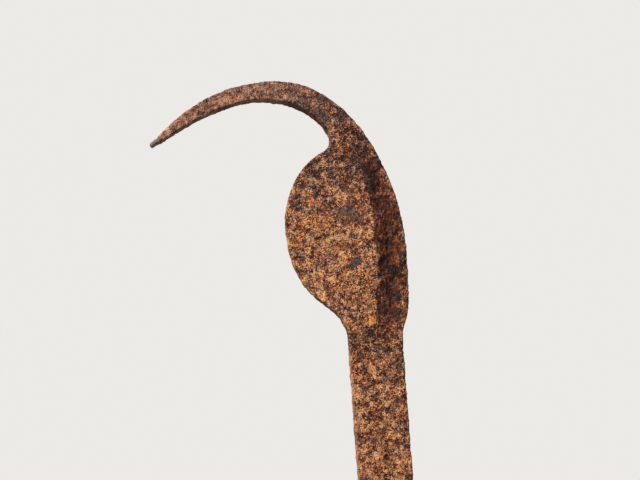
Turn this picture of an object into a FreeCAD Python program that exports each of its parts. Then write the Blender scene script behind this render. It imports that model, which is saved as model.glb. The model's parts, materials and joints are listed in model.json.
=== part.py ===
"""A forged iron hook tool: curved beak, rounded lobe, flat-bar shank and riveted two-scale grip.

Millimetres. +Z runs along the bar from the butt to the head, -Y is the front (the side with the
ridge), and the beak reaches out towards -X. The origin is the middle of the hanging hole, at the
butt end of the bar, halfway through the bar's thickness.
"""

import FreeCAD
import Part
import math
import os

import Sketcher

V = FreeCAD.Vector

# Driving dimensions: alias, value in mm, meaning.
DIMENSIONS = [
    ("bar_width", 26.8, "width of the flat bar"),
    ("bar_thick", 7.0, "thickness of the flat bar"),
    ("neck_height", 225.0, "hanging hole to the neck, where the head starts"),
    ("ridge_rise", 3.6, "how far the ridge stands in front of the bar's face"),
    ("lobe_rim_thick", 3.4, "thickness at the lobe's rim"),
    ("flank_rim_thick", 4.2, "thickness at the head's back edge"),
    ("beak_root_thick", 9.4, "thickness where the beak leaves the head"),
    ("beak_taper_thick", 7.4, "thickness where the beak starts to taper to its point"),
    ("beak_tip_thick", 4.2, "thickness at the beak's point"),
    ("hang_hole_radius", 3.5, "hole at the butt for a nail or thong"),
    ("rivet_radius", 2.5, "rivet shank"),
    ("rivet_fit", 0.05, "radial clearance of a rivet in its holes"),
    ("rivet_head_radius", 4.6, "hammered rivet head"),
    ("rivet_head_rise", 2.1, "height of a rivet head"),
    ("rivet_pitch", 28.0, "distance between rivets"),
    ("rove_radius", 6.4, "rivet washer"),
    ("rove_thick", 1.0, "thickness of a rivet washer"),
    ("rove_face", 12.7, "mid-plane to the flat under a washer"),
    ("spot_margin", 0.4, "gap round a washer in its counterbore"),
    ("grip_start", 14.0, "hanging hole to the wood's lower end"),
    ("grip_end", 132.0, "hanging hole to the wood's upper end"),
    ("seat_length", 14.0, "length of the rebate under a ferrule"),
    ("belly_width", 35.5, "widest part of the grip"),
    ("belly_depth", 28.0, "deepest part of the grip, both scales"),
    ("belly_corner", 8.5, "corner radius of the grip's widest section"),
    ("waist_width", 33.0, "width of the grip beside a ferrule"),
    ("waist_depth", 25.0, "depth of the grip beside a ferrule, both scales"),
    ("waist_corner", 7.5, "corner radius beside a ferrule"),
    ("ferrule_wall", 1.6, "thickness of a ferrule"),
    ("ferrule_length", 13.0, "length of a ferrule along the bar"),
    ("ferrule_chamfer", 0.4, "worn outer edges of a ferrule"),
    ("oversize", 10.0, "how far a cutting block reaches past what it cuts"),
]

doc = FreeCAD.newDocument("HookTool")
sheet = doc.addObject("Spreadsheet::Sheet", "Sizes")
for row, (alias, value, meaning) in enumerate(DIMENSIONS, start=1):
    sheet.set(f"A{row}", meaning)
    sheet.set(f"B{row}", str(value))
    sheet.setAlias(f"B{row}", alias)
doc.recompute()


def size(expression):
    """The number that an expression of cells gives, such as rivet_radius + rivet_fit."""
    return float(sheet.evalExpression(expression))


def bind(feature, **expressions):
    """Binds properties of a feature to expressions of the sheet's cells."""
    for prop, expression in expressions.items():
        feature.setExpression(prop, cells(expression))


def cells(expression):
    """Puts the sheet's name before every alias in an expression."""
    aliases = {alias for alias, _, _ in DIMENSIONS}
    words = expression.replace("(", "( ").replace(")", " )").split()
    return " ".join(f"Sizes.{word}" if word in aliases else word for word in words)


# ---------------------------------------------------------------- shared shapes

ALONG_FRONT = FreeCAD.Rotation(V(1, 0, 0), 90)
ALONG_BACK = FreeCAD.Rotation(V(1, 0, 0), -90)


def outwards(side):
    """The turn that points a shape's own Z out of the front (side -1) or the back (side +1)."""
    return ALONG_FRONT if side < 0 else ALONG_BACK


def rounded_rectangle(sketch, width, depth, corner, name):
    """Adds a centred, fully constrained rounded rectangle whose sizes are cell expressions."""
    x, y, r = size(f"({width}) / 2"), size(f"({depth}) / 2"), size(corner)
    centres = [V(x - r, y - r, 0), V(r - x, y - r, 0), V(r - x, r - y, 0), V(x - r, r - y, 0)]
    sides = [(V(x, r - y, 0), V(x, y - r, 0)), (V(x - r, y, 0), V(r - x, y, 0)),
             (V(-x, y - r, 0), V(-x, r - y, 0)), (V(r - x, -y, 0), V(x - r, -y, 0))]
    first = sketch.GeometryCount
    for quarter, (side, centre) in enumerate(zip(sides, centres)):
        start = quarter * math.pi / 2
        sketch.addGeometry(Part.LineSegment(*side))
        sketch.addGeometry(Part.ArcOfCircle(Part.Circle(centre, V(0, 0, 1), r), start,
                                            start + math.pi / 2))
    for quarter in range(4):
        line = first + 2 * quarter
        following = first + (2 * quarter + 2) % 8
        sketch.addConstraint(Sketcher.Constraint("Tangent", line, 2, line + 1, 1))
        sketch.addConstraint(Sketcher.Constraint("Tangent", line + 1, 2, following, 1))
        direction = "Horizontal" if quarter % 2 else "Vertical"
        sketch.addConstraint(Sketcher.Constraint(direction, line))
    for arc in (3, 5, 7):
        sketch.addConstraint(Sketcher.Constraint("Equal", first + 1, first + arc))
    sketch.addConstraint(Sketcher.Constraint("Symmetric", first + 1, 3, first + 5, 3, -1, 1))
    between_centres = (first + 5, 3, first + 1, 3)
    dimension(sketch, f"{name}_across", "DistanceX", between_centres, f"{width} - 2 * ({corner})")
    dimension(sketch, f"{name}_deep", "DistanceY", between_centres, f"{depth} - 2 * ({corner})")
    dimension(sketch, f"{name}_corner", "Radius", (first + 1,), corner)


def dimension(sketch, name, kind, places, expression):
    """Adds one dimension to a sketch, bound to cells."""
    index = sketch.addConstraint(Sketcher.Constraint(kind, *places, size(expression)))
    sketch.renameConstraint(index, name)
    sketch.setExpression(f"Constraints.{name}", cells(expression))


def level_sketch(name, height):
    """An empty sketch square across the bar, at a height above the hanging hole."""
    sketch = doc.addObject("Sketcher::SketchObject", name)
    sketch.Placement = FreeCAD.Placement(V(0, 0, height), FreeCAD.Rotation())
    return sketch


def extrusion(name, base, length):
    """A solid drawn straight out of a sketch."""
    solid = doc.addObject("Part::Extrusion", name)
    solid.Base = base
    solid.DirMode = "Normal"
    solid.Solid = True
    bind(solid, LengthFwd=length)
    return solid


def rod(name, radius, length, side, start, height):
    """A cylinder along Y that starts at a distance from the mid-plane and points outwards."""
    cylinder = doc.addObject("Part::Cylinder", name)
    bind(cylinder, Radius=radius, Height=length)
    cylinder.Placement = FreeCAD.Placement(V(0, side * start, height), outwards(side))
    return cylinder


def fused(name, shapes):
    """One shape made of several."""
    whole = doc.addObject("Part::MultiFuse", name)
    whole.Shapes = shapes
    return whole


def cut(name, base, tool):
    """A shape with another taken out of it."""
    result = doc.addObject("Part::Cut", name)
    result.Base = base
    result.Tool = tool
    return result


def common(name, base, tool):
    """What two shapes share."""
    result = doc.addObject("Part::Common", name)
    result.Base = base
    result.Tool = tool
    return result


def rivet_heights():
    """Heights of the three rivets above the hanging hole."""
    middle = size("(grip_start + grip_end) / 2")
    pitch = size("rivet_pitch")
    return {"upper": middle + pitch, "middle": middle, "lower": middle - pitch}


# ---------------------------------------------------------------- hook blade

# Outline of the head as (x, height above the neck). The back edge runs from the neck over the
# top of the beak to its point; the belly edge from the neck round the lobe to the throat; the
# underside from the throat along the beak to its point.
BACK_EDGE = [(13.4, 1.5), (14.1, 6.5), (16.4, 12.0), (18.6, 27.0), (19.1, 47.0), (16.4, 71.0),
             (11.2, 87.5), (1.1, 107.2), (-12.8, 123.2), (-27.5, 132.2), (-45.0, 135.2),
             (-62.0, 133.0), (-82.0, 125.2), (-94.1, 116.6), (-99.0, 112.0), (-106.6, 106.0)]
BELLY_EDGE = [(-13.4, 1.5), (-14.6, 10.0), (-17.8, 15.3), (-29.2, 26.0), (-37.7, 40.0),
              (-40.8, 56.0), (-38.9, 74.2), (-32.1, 88.0), (-20.2, 98.0)]
THROAT = [(-20.2, 98.0), (-16.4, 101.6), (-16.1, 107.6)]
UNDERSIDE = [(-16.1, 107.6), (-22.1, 115.6), (-33.9, 123.1), (-49.8, 126.1), (-66.1, 123.4),
             (-84.0, 116.4), (-96.4, 109.5), (-105.2, 104.8)]

# How the lobe's section changes upwards: height above the neck, where the ridge stands, the
# share of the ridge's full rise, and the shares by which the left and right rims have thinned.
LOBE_SECTIONS = [
    (0.0, -1.5, 0.00, 0.00, 0.00),
    (14.0, 0.5, 0.55, 0.45, 0.45),
    (32.0, 2.3, 1.00, 0.95, 1.00),
    (58.0, 2.8, 1.00, 1.00, 1.00),
    (80.0, -0.5, 0.90, 0.85, 0.90),
    (95.0, -6.0, 0.70, 0.35, 0.55),
]
BEAK_SECTIONS = (108.0, 142.0)

# Where the sections change slope across the bar.
FAR_LEFT = -108.0
BEAK_TAPER = -96.0
LEFT_RIM = -41.0
BEAK_RIDGE = -12.0
BEAK_SHOULDER = 0.0
RIGHT_RIM = 19.5
FAR_RIGHT = 32.0

# The right flank is hollow: this far from the ridge to the rim it has lost most of its rise.
HOLLOW_AT = 0.42
HOLLOW_DROP = 0.62
# The beak's front at its shoulder and at the right rim, as shares of its front at the root.
BEAK_SHOULDER_SHARE = 0.86
BEAK_FLANK_SHARE = 0.30


def curve_through(points):
    """One smooth curve through points."""
    curve = Part.BSplineCurve()
    curve.interpolate(points)
    return curve


def blade_outline():
    """The blade's outline seen from the front, from the rounded butt to the beak's point."""
    half = size("bar_width") / 2
    neck = size("neck_height")
    back, belly, throat, under = ([V(x, height + neck, 0) for x, height in points]
                                  for points in (BACK_EDGE, BELLY_EDGE, THROAT, UNDERSIDE))
    right, bottom, left = V(half, 0, 0), V(0, -half, 0), V(-half, 0, 0)
    sketch = doc.addObject("Sketcher::SketchObject", "blade_outline")
    sketch.Placement = FreeCAD.Placement(V(0, 0, 0), ALONG_FRONT)
    sketch.addGeometry(Part.LineSegment(right, back[0]))
    sketch.addGeometry(curve_through(back))
    sketch.addGeometry(Part.LineSegment(back[-1], under[-1]))
    sketch.addGeometry(curve_through(under[::-1]))
    sketch.addGeometry(Part.Arc(*throat[::-1]))
    sketch.addGeometry(curve_through(belly[::-1]))
    sketch.addGeometry(Part.LineSegment(belly[0], left))
    sketch.addGeometry(Part.Arc(left, bottom, right))
    return sketch


def closed_polygon(name, points, height):
    """A sketch across the bar with straight sides, at a height above the neck."""
    sketch = level_sketch(name, height + size("neck_height"))
    corners = [V(x, y, 0) for x, y in points]
    for start, end in zip(corners, corners[1:] + corners[:1]):
        sketch.addGeometry(Part.LineSegment(start, end))
    return sketch


def lobe_section(name, height, ridge_x, rise, thin_left, thin_right):
    """A section through the lobe: a flat back, a ridge in front, and two thinner rims."""
    face = size("bar_thick") / 2
    ridge = -face - rise * size("ridge_rise")
    left = -face + thin_left * size("bar_thick - lobe_rim_thick")
    right = -face + thin_right * size("bar_thick - flank_rim_thick")
    hollow_x = ridge_x + HOLLOW_AT * (RIGHT_RIM - ridge_x)
    hollow_y = ridge + HOLLOW_DROP * (right - ridge)
    points = [(FAR_LEFT, face), (FAR_LEFT, left), (LEFT_RIM, left), (ridge_x, ridge),
              (hollow_x, hollow_y), (RIGHT_RIM, right), (FAR_RIGHT, right), (FAR_RIGHT, face),
              (BEAK_TAPER, face)]
    return closed_polygon(name, points, height)


def beak_section(name, height):
    """A section through the beak, which thins from its root and tapers to its point."""
    face = size("bar_thick") / 2
    tip = size("beak_tip_thick") / 2
    root = face - size("beak_root_thick")
    points = [(FAR_LEFT, tip), (FAR_LEFT, -tip), (BEAK_TAPER, face - size("beak_taper_thick")),
              (BEAK_RIDGE, root), (BEAK_SHOULDER, BEAK_SHOULDER_SHARE * root),
              (RIGHT_RIM, BEAK_FLANK_SHARE * root), (FAR_RIGHT, 0), (FAR_RIGHT, face),
              (BEAK_TAPER, face)]
    return closed_polygon(name, points, height)


def hook_blade():
    """The one-piece forging: beak, lobe, ridge, shank and tang, with its holes."""
    blank = extrusion("blade_blank", blade_outline(), "bar_thick * 4")
    blank.Symmetric = True

    relief = doc.addObject("Part::Loft", "head_relief")
    lobe = [lobe_section(f"lobe_section_{i}", *row) for i, row in enumerate(LOBE_SECTIONS)]
    beak = [beak_section(f"beak_section_{i}", height) for i, height in enumerate(BEAK_SECTIONS)]
    relief.Sections = lobe + beak
    relief.Solid = True
    relief.Ruled = True

    bar = doc.addObject("Part::Box", "bar_stock")
    bind(bar, Length="bar_width + oversize", Width="bar_thick", Height="neck_height + bar_width")
    bar.Placement.Base = V(-size("(bar_width + oversize) / 2"), -size("bar_thick / 2"),
                           -size("bar_width"))
    forging = common("forging", blank, fused("forging_stock", [relief, bar]))

    outside = size("bar_thick")
    holes = [rod("hang_hole", "hang_hole_radius", "bar_thick * 2", 1, -outside, 0)]
    holes += [rod(f"tang_hole_{where}", "rivet_radius + rivet_fit", "bar_thick * 2", 1, -outside,
                  height) for where, height in rivet_heights().items()]
    blade = cut("drilled_forging", forging, fused("blade_drill", holes))
    blade.Label = "hook_blade"
    return blade


# ---------------------------------------------------------------- wooden grip


def grip_section(name, height, width, depth, corner):
    """A rounded rectangle across the bar at a height above the hanging hole."""
    sketch = level_sketch(name, height)
    rounded_rectangle(sketch, width, depth, corner, "edge")
    return sketch


def seat(name, height):
    """The rebated stretch of the grip that a ferrule covers."""
    section = grip_section(f"{name}_outline", height, "waist_width - 2 * ferrule_wall",
                           "waist_depth - 2 * ferrule_wall", "waist_corner - ferrule_wall")
    return extrusion(name, section, "seat_length")


def grip_scale(label, side):
    """One wooden scale, hollowed over the tang: side is -1 for the front and +1 for the back."""
    lower = size("grip_start + seat_length")
    upper = size("grip_end - seat_length")
    waist = ("waist_width", "waist_depth", "waist_corner")
    belly = ("belly_width", "belly_depth", "belly_corner")
    swell = doc.addObject("Part::Loft", f"{label}_swell")
    swell.Sections = [grip_section(f"{label}_waist_low", lower, *waist),
                      grip_section(f"{label}_belly", (lower + upper) / 2, *belly),
                      grip_section(f"{label}_waist_high", upper, *waist)]
    swell.Solid = True
    whole = fused(f"{label}_whole", [swell, seat(f"{label}_seat_low", size("grip_start")),
                                     seat(f"{label}_seat_high", upper)])

    half = doc.addObject("Part::Box", f"{label}_half")
    bind(half, Length="belly_width + oversize", Width="belly_depth", Height="grip_end + oversize")
    nearest = 0 if side > 0 else -size("belly_depth")
    half.Placement.Base = V(-size("(belly_width + oversize) / 2"), nearest, 0)

    recess = doc.addObject("Part::Box", f"{label}_recess")
    bind(recess, Length="bar_width", Width="bar_thick", Height="grip_end + oversize")
    recess.Placement.Base = V(-size("bar_width / 2"), -size("bar_thick / 2"), 0)

    tools = [recess]
    for where, height in rivet_heights().items():
        tools.append(rod(f"{label}_hole_{where}", "rivet_radius + rivet_fit", "belly_depth",
                         side, 0, height))
        tools.append(rod(f"{label}_spot_{where}", "rove_radius + spot_margin", "belly_depth",
                         side, size("rove_face"), height))
    scale = cut(f"{label}_drilled", common(f"{label}_blank", whole, half),
                fused(f"{label}_drill", tools))
    scale.Label = label
    return scale


# ---------------------------------------------------------------- ironwork of the grip


def new_body(label):
    """An empty PartDesign body with a label."""
    body = doc.addObject("PartDesign::Body", label)
    body.Label = label
    return body


def level_body_sketch(body, name):
    """A sketch on a body's own XY plane."""
    sketch = body.newObject("Sketcher::SketchObject", name)
    plane = next(f for f in body.Origin.OriginFeatures if f.Role == "XY_Plane")
    sketch.AttachmentSupport = [(plane, "")]
    sketch.MapMode = "FlatFace"
    return sketch


def padded(body, sketch, name, length):
    """A pad of a sketch in a body."""
    pad = body.newObject("PartDesign::Pad", name)
    pad.Profile = sketch
    bind(pad, Length=length)
    return pad


def ferrule(label, start):
    """An iron band driven over the ends of both scales."""
    body = new_body(label)
    sketch = level_body_sketch(body, f"{label}_ring")
    rounded_rectangle(sketch, "waist_width", "waist_depth", "waist_corner", "outer")
    rounded_rectangle(sketch, "waist_width - 2 * ferrule_wall",
                      "waist_depth - 2 * ferrule_wall", "waist_corner - ferrule_wall", "inner")
    band = padded(body, sketch, f"{label}_band", "ferrule_length")
    doc.recompute()
    chamfer = body.newObject("PartDesign::Chamfer", f"{label}_worn_edges")
    chamfer.Base = (band, outer_rims(band.Shape))
    bind(chamfer, Size="ferrule_chamfer")
    body.Placement.Base = V(0, 0, start)
    return body


def outer_rims(shape):
    """Names of the edges round both ends of a ring, on its outside."""
    walls = [face for face in shape.Faces if is_outer_wall(face)]
    names = []
    for number, edge in enumerate(shape.Edges, start=1):
        level = abs(edge.tangentAt(edge.FirstParameter).z) < 0.5
        if level and any(edge.isSame(other) for wall in walls for other in wall.Edges):
            names.append(f"Edge{number}")
    return names


def is_outer_wall(face):
    """Whether a face stands along the bar and looks away from its axis."""
    low_u, high_u, low_v, high_v = face.ParameterRange
    normal = face.normalAt((low_u + high_u) / 2, (low_v + high_v) / 2)
    centre = face.CenterOfMass
    return abs(normal.z) < 0.5 and normal.dot(V(centre.x, centre.y, 0)) > 0


def rivet_dome(name, side, height):
    """A hammered head: a cap of a sphere standing on the washer."""
    squares = "rivet_head_radius * rivet_head_radius + rivet_head_rise * rivet_head_rise"
    ball = f"({squares}) / (2 * rivet_head_rise)"
    base = size(f"{ball} - rivet_head_rise")
    dome = doc.addObject("Part::Sphere", name)
    bind(dome, Radius=ball)
    dome.Angle1 = math.degrees(math.asin(base / size(ball)))
    centre = size("rove_face + rove_thick") - base
    dome.Placement = FreeCAD.Placement(V(0, side * centre, height), outwards(side))
    return dome


def rivet(label, height):
    """A rivet through both scales and the tang, with a hammered dome at each end."""
    shank = rod(f"{label}_shank", "rivet_radius", "2 * (rove_face + rove_thick)", 1,
                -size("rove_face + rove_thick"), height)
    whole = fused(f"{label}_whole", [shank, rivet_dome(f"{label}_head", -1, height),
                                     rivet_dome(f"{label}_clench", 1, height)])
    whole.Label = label
    return whole


def rove(label, side, height):
    """A washer under a rivet head, on the front (side -1) or the back (side +1)."""
    body = new_body(label)
    sketch = level_body_sketch(body, f"{label}_ring")
    for name, radius in (("rim", "rove_radius"), ("eye", "rivet_radius + rivet_fit")):
        circle = sketch.addGeometry(Part.Circle(V(0, 0, 0), V(0, 0, 1), size(radius)))
        sketch.addConstraint(Sketcher.Constraint("Coincident", circle, 3, -1, 1))
        dimension(sketch, name, "Radius", (circle,), radius)
    padded(body, sketch, f"{label}_disc", "rove_thick")
    body.Placement = FreeCAD.Placement(V(0, side * size("rove_face"), height), outwards(side))
    return body


# ---------------------------------------------------------------- assembly


def build():
    """Makes every sub-part and returns them."""
    parts = [hook_blade(), grip_scale("grip_scale_front", -1), grip_scale("grip_scale_back", 1)]
    parts.append(ferrule("lower_ferrule", size("grip_start + seat_length - ferrule_length")))
    parts.append(ferrule("upper_ferrule", size("grip_end - seat_length")))
    for where, height in rivet_heights().items():
        parts.append(rivet(f"grip_rivet_{where}", height))
        parts.append(rove(f"rove_front_{where}", -1, height))
        parts.append(rove(f"rove_back_{where}", 1, height))
    return parts


def write(parts):
    """Checks every object and sub-part, then writes one STEP file for each sub-part."""
    doc.recompute()
    failed = [item.Name for item in doc.Objects if {"Invalid", "Error"} & set(item.State)]
    if failed:
        raise RuntimeError(f"these objects failed: {failed}")
    for part in parts:
        if part.Shape.isNull() or not part.Shape.isValid() or not part.Shape.Solids:
            raise RuntimeError(f"{part.Label} has no valid solid")
    os.makedirs("parts", exist_ok=True)
    for part in parts:
        part.Shape.exportStep(f"parts/{part.Label}.step")
        print(f"{part.Label}: {part.Shape.Volume:.0f} mm3, {len(part.Shape.Solids)} solid")


write(build())
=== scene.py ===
"""Looks of a hand-forged iron hook tool: pitted, rusted iron and a riveted wooden grip.

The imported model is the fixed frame.  Every visible piece is worked here from a copy of its node or
from a primitive, in metres and in that frame, and then given its finish.  Materials work in
millimetres, measured from the centre of the hanging hole.
"""

import json
import logging
import math
import random
from dataclasses import dataclass
from enum import Enum
from typing import Callable, Dict, List, Optional, Sequence, Tuple, Union

import bpy
import numpy as np
from mathutils import Matrix, Vector

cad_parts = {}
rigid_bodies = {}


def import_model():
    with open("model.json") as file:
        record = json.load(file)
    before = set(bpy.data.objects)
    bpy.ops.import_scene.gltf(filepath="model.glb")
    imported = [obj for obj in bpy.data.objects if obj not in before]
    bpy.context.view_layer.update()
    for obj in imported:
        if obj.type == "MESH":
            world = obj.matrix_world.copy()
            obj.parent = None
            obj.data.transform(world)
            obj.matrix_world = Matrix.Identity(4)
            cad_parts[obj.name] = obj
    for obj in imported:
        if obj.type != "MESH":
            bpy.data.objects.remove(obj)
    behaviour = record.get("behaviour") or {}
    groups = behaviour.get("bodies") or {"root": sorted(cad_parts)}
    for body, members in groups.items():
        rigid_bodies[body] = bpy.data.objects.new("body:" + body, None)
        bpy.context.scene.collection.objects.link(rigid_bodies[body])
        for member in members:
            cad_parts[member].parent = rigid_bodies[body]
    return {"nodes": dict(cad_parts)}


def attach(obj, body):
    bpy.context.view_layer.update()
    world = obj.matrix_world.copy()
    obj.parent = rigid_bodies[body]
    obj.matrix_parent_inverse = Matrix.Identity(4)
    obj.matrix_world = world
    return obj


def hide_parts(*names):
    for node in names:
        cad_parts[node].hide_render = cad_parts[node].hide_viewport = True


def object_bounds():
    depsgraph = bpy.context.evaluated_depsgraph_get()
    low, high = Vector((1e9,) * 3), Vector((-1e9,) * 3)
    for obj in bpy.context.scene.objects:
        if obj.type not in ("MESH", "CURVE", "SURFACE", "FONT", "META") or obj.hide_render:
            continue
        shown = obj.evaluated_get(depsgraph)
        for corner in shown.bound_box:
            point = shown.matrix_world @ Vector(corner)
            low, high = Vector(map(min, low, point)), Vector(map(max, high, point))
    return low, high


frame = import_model()
CAD_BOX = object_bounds()

log = logging.getLogger("hook_tool")

MM = 0.001
BODY = "root"
MERGE = 0.001 * MM
RELIEF = "relief"
NARROW = "narrow"
MASK_STEPS = 16

Point = Tuple[float, float, float]


# ---------------------------------------------------------------------------------------------
# Bench work: the mesh operations that every piece shares
# ---------------------------------------------------------------------------------------------


class Side(Enum):
    """The two faces of the flat bar, by the sign of Y."""

    FRONT = -1
    BACK = 1


class Texture(Enum):
    """Kinds of relief that a Displace modifier can carry."""

    CLOUDS = "CLOUDS"
    CELLS = "VORONOI"


@dataclass(frozen=True)
class Relief:
    """One layer of surface relief.

    Attributes:
        kind: the texture that gives its shape.
        grain: size of its features, in millimetres.
        depth: height from its lowest to its highest point, in millimetres.
        hardness: contrast of the texture; high values make steps instead of swells.
        detail: how many finer layers of noise the clouds carry.
        level: the texture value that stays on the surface.
    """

    kind: Texture
    grain: float
    depth: float
    hardness: float = 1.0
    detail: int = 1
    level: float = 0.5


def deselect_all() -> None:
    """Deselects every object, so that the next operator acts on its own piece alone."""
    for other in bpy.context.scene.objects:
        other.select_set(False)


def pick(piece: bpy.types.Object) -> None:
    """Makes one piece the only selected one, and active.

    Args:
        piece: the object.
    """
    deselect_all()
    bpy.context.view_layer.objects.active = piece
    piece.select_set(True)


def begin_edit(piece: bpy.types.Object, mode: str = "VERT") -> None:
    """Opens a piece in edit mode with nothing selected.

    Args:
        piece: the mesh object.
        mode: the select mode, "VERT", "EDGE" or "FACE".
    """
    pick(piece)
    bpy.ops.object.mode_set(mode="EDIT")
    bpy.ops.mesh.select_mode(type=mode)
    bpy.ops.mesh.select_all(action="DESELECT")


def end_edit() -> None:
    """Leaves edit mode."""
    bpy.ops.object.mode_set(mode="OBJECT")


def select_faces(piece: bpy.types.Object, wanted: Callable[[bpy.types.MeshPolygon], bool]) -> None:
    """Selects the faces of the piece in edit mode that pass a test.

    Args:
        piece: the mesh object, in edit mode.
        wanted: says of each face whether it is selected.
    """
    bpy.ops.mesh.select_all(action="DESELECT")
    bpy.ops.object.mode_set(mode="OBJECT")
    for face in piece.data.polygons:
        face.select = wanted(face)
    bpy.ops.object.mode_set(mode="EDIT")


def new_piece(name: str) -> bpy.types.Object:
    """Names the primitive that was just added.

    Args:
        name: the name of the piece.

    Returns:
        The new object.
    """
    piece = bpy.context.active_object
    piece.name = name
    piece.data.name = name
    return piece


def place_in_mesh(piece: bpy.types.Object) -> None:
    """Moves the object's place and turn into its mesh, so that the object sits at the origin."""
    piece.data.transform(piece.matrix_basis)
    piece.matrix_basis = Matrix.Identity(4)


def copy_of_node(node: str, name: str) -> bpy.types.Object:
    """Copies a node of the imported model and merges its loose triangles.

    Args:
        node: the node to copy.
        name: the name of the copy.

    Returns:
        The copy, at the origin, with closed faces.
    """
    mesh = frame["nodes"][node].data.copy()
    mesh.name = name
    mesh.materials.clear()
    piece = bpy.data.objects.new(name, mesh)
    bpy.context.scene.collection.objects.link(piece)
    begin_edit(piece)
    bpy.ops.mesh.select_all(action="SELECT")
    bpy.ops.mesh.remove_doubles(threshold=MERGE)
    end_edit()
    return piece


def duplicate(piece: bpy.types.Object, name: str, placing: Matrix) -> bpy.types.Object:
    """Copies a finished piece with its own mesh.

    Args:
        piece: the piece to copy.
        name: the name of the copy.
        placing: where the copy goes; it is applied to the mesh.

    Returns:
        The copy, at the origin.
    """
    mesh = piece.data.copy()
    mesh.name = name
    mesh.transform(placing)
    copy = bpy.data.objects.new(name, mesh)
    bpy.context.scene.collection.objects.link(copy)
    return copy


def discard(piece: bpy.types.Object) -> None:
    """Removes a pattern piece that was only there to be copied."""
    bpy.data.objects.remove(piece, do_unlink=True)


def modify(piece: bpy.types.Object, kind: str, **settings: object) -> None:
    """Adds a modifier, sets it up and applies it.

    Args:
        piece: the mesh object.
        kind: the modifier's type.
        settings: its properties.
    """
    pick(piece)
    modifier = piece.modifiers.new(kind.lower(), kind)
    for key, value in settings.items():
        setattr(modifier, key, value)
    bpy.ops.object.modifier_apply(modifier=modifier.name)


def remesh(piece: bpy.types.Object, cell: float, smoothing: int) -> None:
    """Gives a piece an even skin of small quads and softens its edges.

    Args:
        piece: the mesh object.
        cell: size of the quads, in millimetres.
        smoothing: how many rounds of smoothing follow.
    """
    modify(piece, "REMESH", mode="VOXEL", voxel_size=cell * MM, use_smooth_shade=True)
    modify(piece, "SMOOTH", factor=0.5, iterations=smoothing)


def emboss(piece: bpy.types.Object, layers: Sequence[Relief], mask: str = "") -> None:
    """Displaces a piece by layers of relief.

    Args:
        piece: the mesh object.
        layers: the layers, from the coarsest to the finest.
        mask: name of the vertex group that lets the relief through, or "" for all of the piece.
    """
    for number, layer in enumerate(layers):
        texture = bpy.data.textures.new(f"{piece.name}_relief_{number}", layer.kind.value)
        texture.noise_scale = layer.grain * MM
        texture.contrast = layer.hardness
        if layer.kind is Texture.CLOUDS:
            texture.noise_depth = layer.detail
        modify(
            piece,
            "DISPLACE",
            texture=texture,
            texture_coords="LOCAL",
            direction="NORMAL",
            mid_level=layer.level,
            strength=layer.depth * MM,
            vertex_group=mask,
        )
        bpy.data.textures.remove(texture)


def points_of(piece: bpy.types.Object) -> np.ndarray:
    """Reads the piece's vertices.

    Args:
        piece: the mesh object.

    Returns:
        Their places in millimetres, one row each.
    """
    flat = np.empty(len(piece.data.vertices) * 3, np.float32)
    piece.data.vertices.foreach_get("co", flat)
    return flat.reshape(-1, 3).astype(float) / MM


def set_points(piece: bpy.types.Object, points: np.ndarray) -> None:
    """Moves the piece's vertices.

    Args:
        piece: the mesh object.
        points: the new places in millimetres, one row for each vertex.
    """
    piece.data.vertices.foreach_set("co", (points * MM).astype(np.float32).ravel())
    piece.data.update()


def normals_of(piece: bpy.types.Object) -> np.ndarray:
    """Reads which way the piece's surface faces at its vertices.

    Args:
        piece: the mesh object.

    Returns:
        The unit normals, one row each.
    """
    flat = np.empty(len(piece.data.vertices) * 3, np.float32)
    piece.data.vertex_normals.foreach_get("vector", flat)
    return flat.reshape(-1, 3).astype(float)


def write_attribute(piece: bpy.types.Object, name: str, values: np.ndarray) -> None:
    """Stores one number for each vertex, for the finish to read.

    Args:
        piece: the mesh object.
        name: the attribute's name.
        values: one number for each vertex.
    """
    attribute = piece.data.attributes.new(name, "FLOAT", "POINT")
    attribute.data.foreach_set("value", values.astype(np.float32))


def store_relief(piece: bpy.types.Object, before: np.ndarray, outward: np.ndarray) -> None:
    """Stores how far each vertex has been moved outwards, for the finish to read.

    Args:
        piece: the mesh object, with its relief.
        before: where its vertices were, in millimetres.
        outward: the unit normals that they had there.
    """
    write_attribute(piece, RELIEF, ((points_of(piece) - before) * outward).sum(axis=1))


def ramp_between(values: np.ndarray, low: float, high: float) -> np.ndarray:
    """Returns 0 below low, 1 above high and a smooth rise between; low may be the greater."""
    share = np.clip((values - low) / (high - low), 0.0, 1.0)
    return share * share * (3.0 - 2.0 * share)


def mask_group(piece: bpy.types.Object, name: str, weights: np.ndarray) -> None:
    """Makes a vertex group from weights, rounded to a few steps.

    Args:
        piece: the mesh object.
        name: the group's name.
        weights: one number from 0 to 1 for each vertex.
    """
    group = piece.vertex_groups.new(name=name)
    level = np.round(weights * MASK_STEPS).astype(int)
    for step in range(1, MASK_STEPS + 1):
        group.add(np.nonzero(level == step)[0].tolist(), step / MASK_STEPS, "REPLACE")


def thin_out(piece: bpy.types.Object, triangles: int) -> None:
    """Brings a piece down to a number of triangles, where it is flattest first.

    Args:
        piece: the mesh object.
        triangles: how many triangles it may keep.
    """
    now = sum(len(face.vertices) - 2 for face in piece.data.polygons)
    if now > triangles:
        modify(piece, "DECIMATE", decimate_type="COLLAPSE", ratio=triangles / now)


def settle(piece: bpy.types.Object, nodes: Sequence[str], slot: str) -> None:
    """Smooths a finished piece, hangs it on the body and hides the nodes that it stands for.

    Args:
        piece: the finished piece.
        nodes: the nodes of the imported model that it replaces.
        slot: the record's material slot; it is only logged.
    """
    for face in piece.data.polygons:
        face.use_smooth = True
    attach(piece, BODY)
    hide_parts(*nodes)
    log.info("%s: %d faces, %s", piece.name, len(piece.data.polygons), slot)


# ---------------------------------------------------------------------------------------------
# Shader arithmetic
# ---------------------------------------------------------------------------------------------


Operand = Union["Value", float]


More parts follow.
